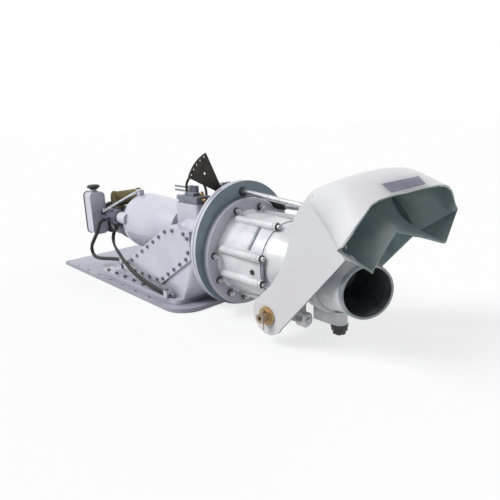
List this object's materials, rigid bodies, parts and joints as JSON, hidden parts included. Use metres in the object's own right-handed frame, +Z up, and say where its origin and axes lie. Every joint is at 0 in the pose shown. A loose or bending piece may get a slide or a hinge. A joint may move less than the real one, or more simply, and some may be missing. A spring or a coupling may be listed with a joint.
{
  "type": "waterjet propulsion unit",
  "caption": "Marine waterjet with hull plate, intake casting, pump, transom flange, tailpipe, steering nozzle, lifting reverse duct, oil tank and hoses.",
  "frame": {"origin": "centre of the transom bolt circle on the clamp ring's forward face", "axes": "+X aft along the shaft line, +Y to starboard, +Z up"},
  "size_m": [2.3733, 0.786, 0.7701],
  "materials": {
    "hull_paint": "pale grey satin paint over cast aluminium",
    "casting_white": "near-white grey satin paint over cast aluminium",
    "ring_grey": "blue-grey paint",
    "bright_steel": "machined and polished",
    "dark_steel": "dark oiled finish",
    "nozzle_metal": "bare dark grey casting",
    "barrel_black": "black paint",
    "black_rubber": "matte",
    "black_plastic": "matte moulded",
    "brass": "machined",
    "cooler_bronze": "olive paint worn to bronze",
    "zinc": "dull cast zinc"
  },
  "bodies": {
    "unit": {"base_plate": "hull_paint", "intake_casting": "hull_paint", "intake_grille": "dark_steel", "port_cover": "hull_paint", "starboard_cover": "hull_paint", "cover_bolts": "dark_steel", "intake_bolts": "dark_steel", "bearing_housing": "casting_white", "bearing_cap": "hull_paint", "thrust_bearing": "bright_steel", "shaft_seal": "black_rubber", "wear_ring": "bright_steel", "oil_cooler": "cooler_bronze", "hydraulic_pump": "barrel_black", "reservoir": "hull_paint", "reservoir_gasket": "black_rubber", "reservoir_cover": "hull_paint", "filler_neck": "hull_paint", "reservoir_bracket": "bright_steel", "valve_block": "ring_grey", "valve_fittings": "brass", "lever_bracket": "dark_steel", "suction_hose": "black_rubber", "pressure_hose": "black_rubber", "return_hose": "black_rubber", "loop_hose": "black_rubber", "hose_fittings": "bright_steel", "clamp_ring": "ring_grey", "transom_gasket": "black_rubber", "transom_flange": "ring_grey", "tailpipe": "casting_white", "tailpipe_nuts": "bright_steel", "aft_bearing": "black_rubber", "nozzle_housing": "casting_white", "housing_bolts": "bright_steel", "duct_pivot_pins": "bright_steel", "split_pins": "bright_steel", "anode": "zinc", "anode_bolt": "bright_steel", "ram_barrel": "barrel_black", "ram_bracket": "hull_paint"},
    "shaft": {"mainshaft": "bright_steel", "coupling_flange": "dark_steel", "coupling_nut": "bright_steel", "impeller": "brass"},
    "nozzle": {"steering_nozzle": "nozzle_metal", "upper_pivot": "bright_steel", "lower_pivot": "bright_steel", "castle_nut": "dark_steel"},
    "steering": {"steering_rod": "bright_steel"},
    "duct": {"reverse_duct": "casting_white", "pivot_bushes": "brass"},
    "ram": {"ram_rod": "bright_steel"},
    "link": {"duct_link": "casting_white", "link_pins": "bright_steel"},
    "lever": {"control_lever": "dark_steel"},
    "cap": {"filler_cap": "black_plastic"}
  },
  "joints": [
    {"name": "shaft_spin", "type": "hinge", "parent": "unit", "child": "shaft", "pos_m": [0.036, 0, -0.035], "axis": [1, 0, 0], "continuous": true},
    {"name": "nozzle_steer", "type": "hinge", "parent": "unit", "child": "nozzle", "pos_m": [0.597, 0, -0.035], "axis": [0, 0, 1], "range_deg": [0, 56]},
    {"name": "steering_slide", "type": "slide", "parent": "unit", "child": "steering", "axis": [1, 0, 0], "range_m": [-0.106, 0]},
    {"name": "duct_lower", "type": "hinge", "parent": "unit", "child": "duct", "pos_m": [0.404, 0, -0.2], "axis": [0, 1, 0], "range_deg": [0, 35]},
    {"name": "ram_slide", "type": "slide", "parent": "unit", "child": "ram", "axis": [0.9971, 0, -0.0767], "range_m": [0, 0.262]},
    {"name": "link_swing", "type": "hinge", "parent": "ram", "child": "link", "pos_m": [0.45576, -0.005, 0.2177], "axis": [0, 1, 0], "range_deg": [0, 61]},
    {"name": "lever_swing", "type": "hinge", "parent": "unit", "child": "lever", "pos_m": [-0.076, -0.062, 0.261], "axis": [1, 0, 0], "range_deg": [-20, 20]},
    {"name": "cap_turn", "type": "hinge", "parent": "unit", "child": "cap", "pos_m": [-1.169, -0.176, 0.186], "axis": [0, 0, 1], "range_deg": [0, 70]}
  ],
  "couplings": [
    {"joint": "steering_slide", "follows": "nozzle_steer", "m_per_rad": -0.10759},
    {"joint": "ram_slide", "follows": "duct_lower", "m_per_rad": 0.42726},
    {"joint": "link_swing", "follows": "duct_lower", "ratio": 1.728}
  ]
}
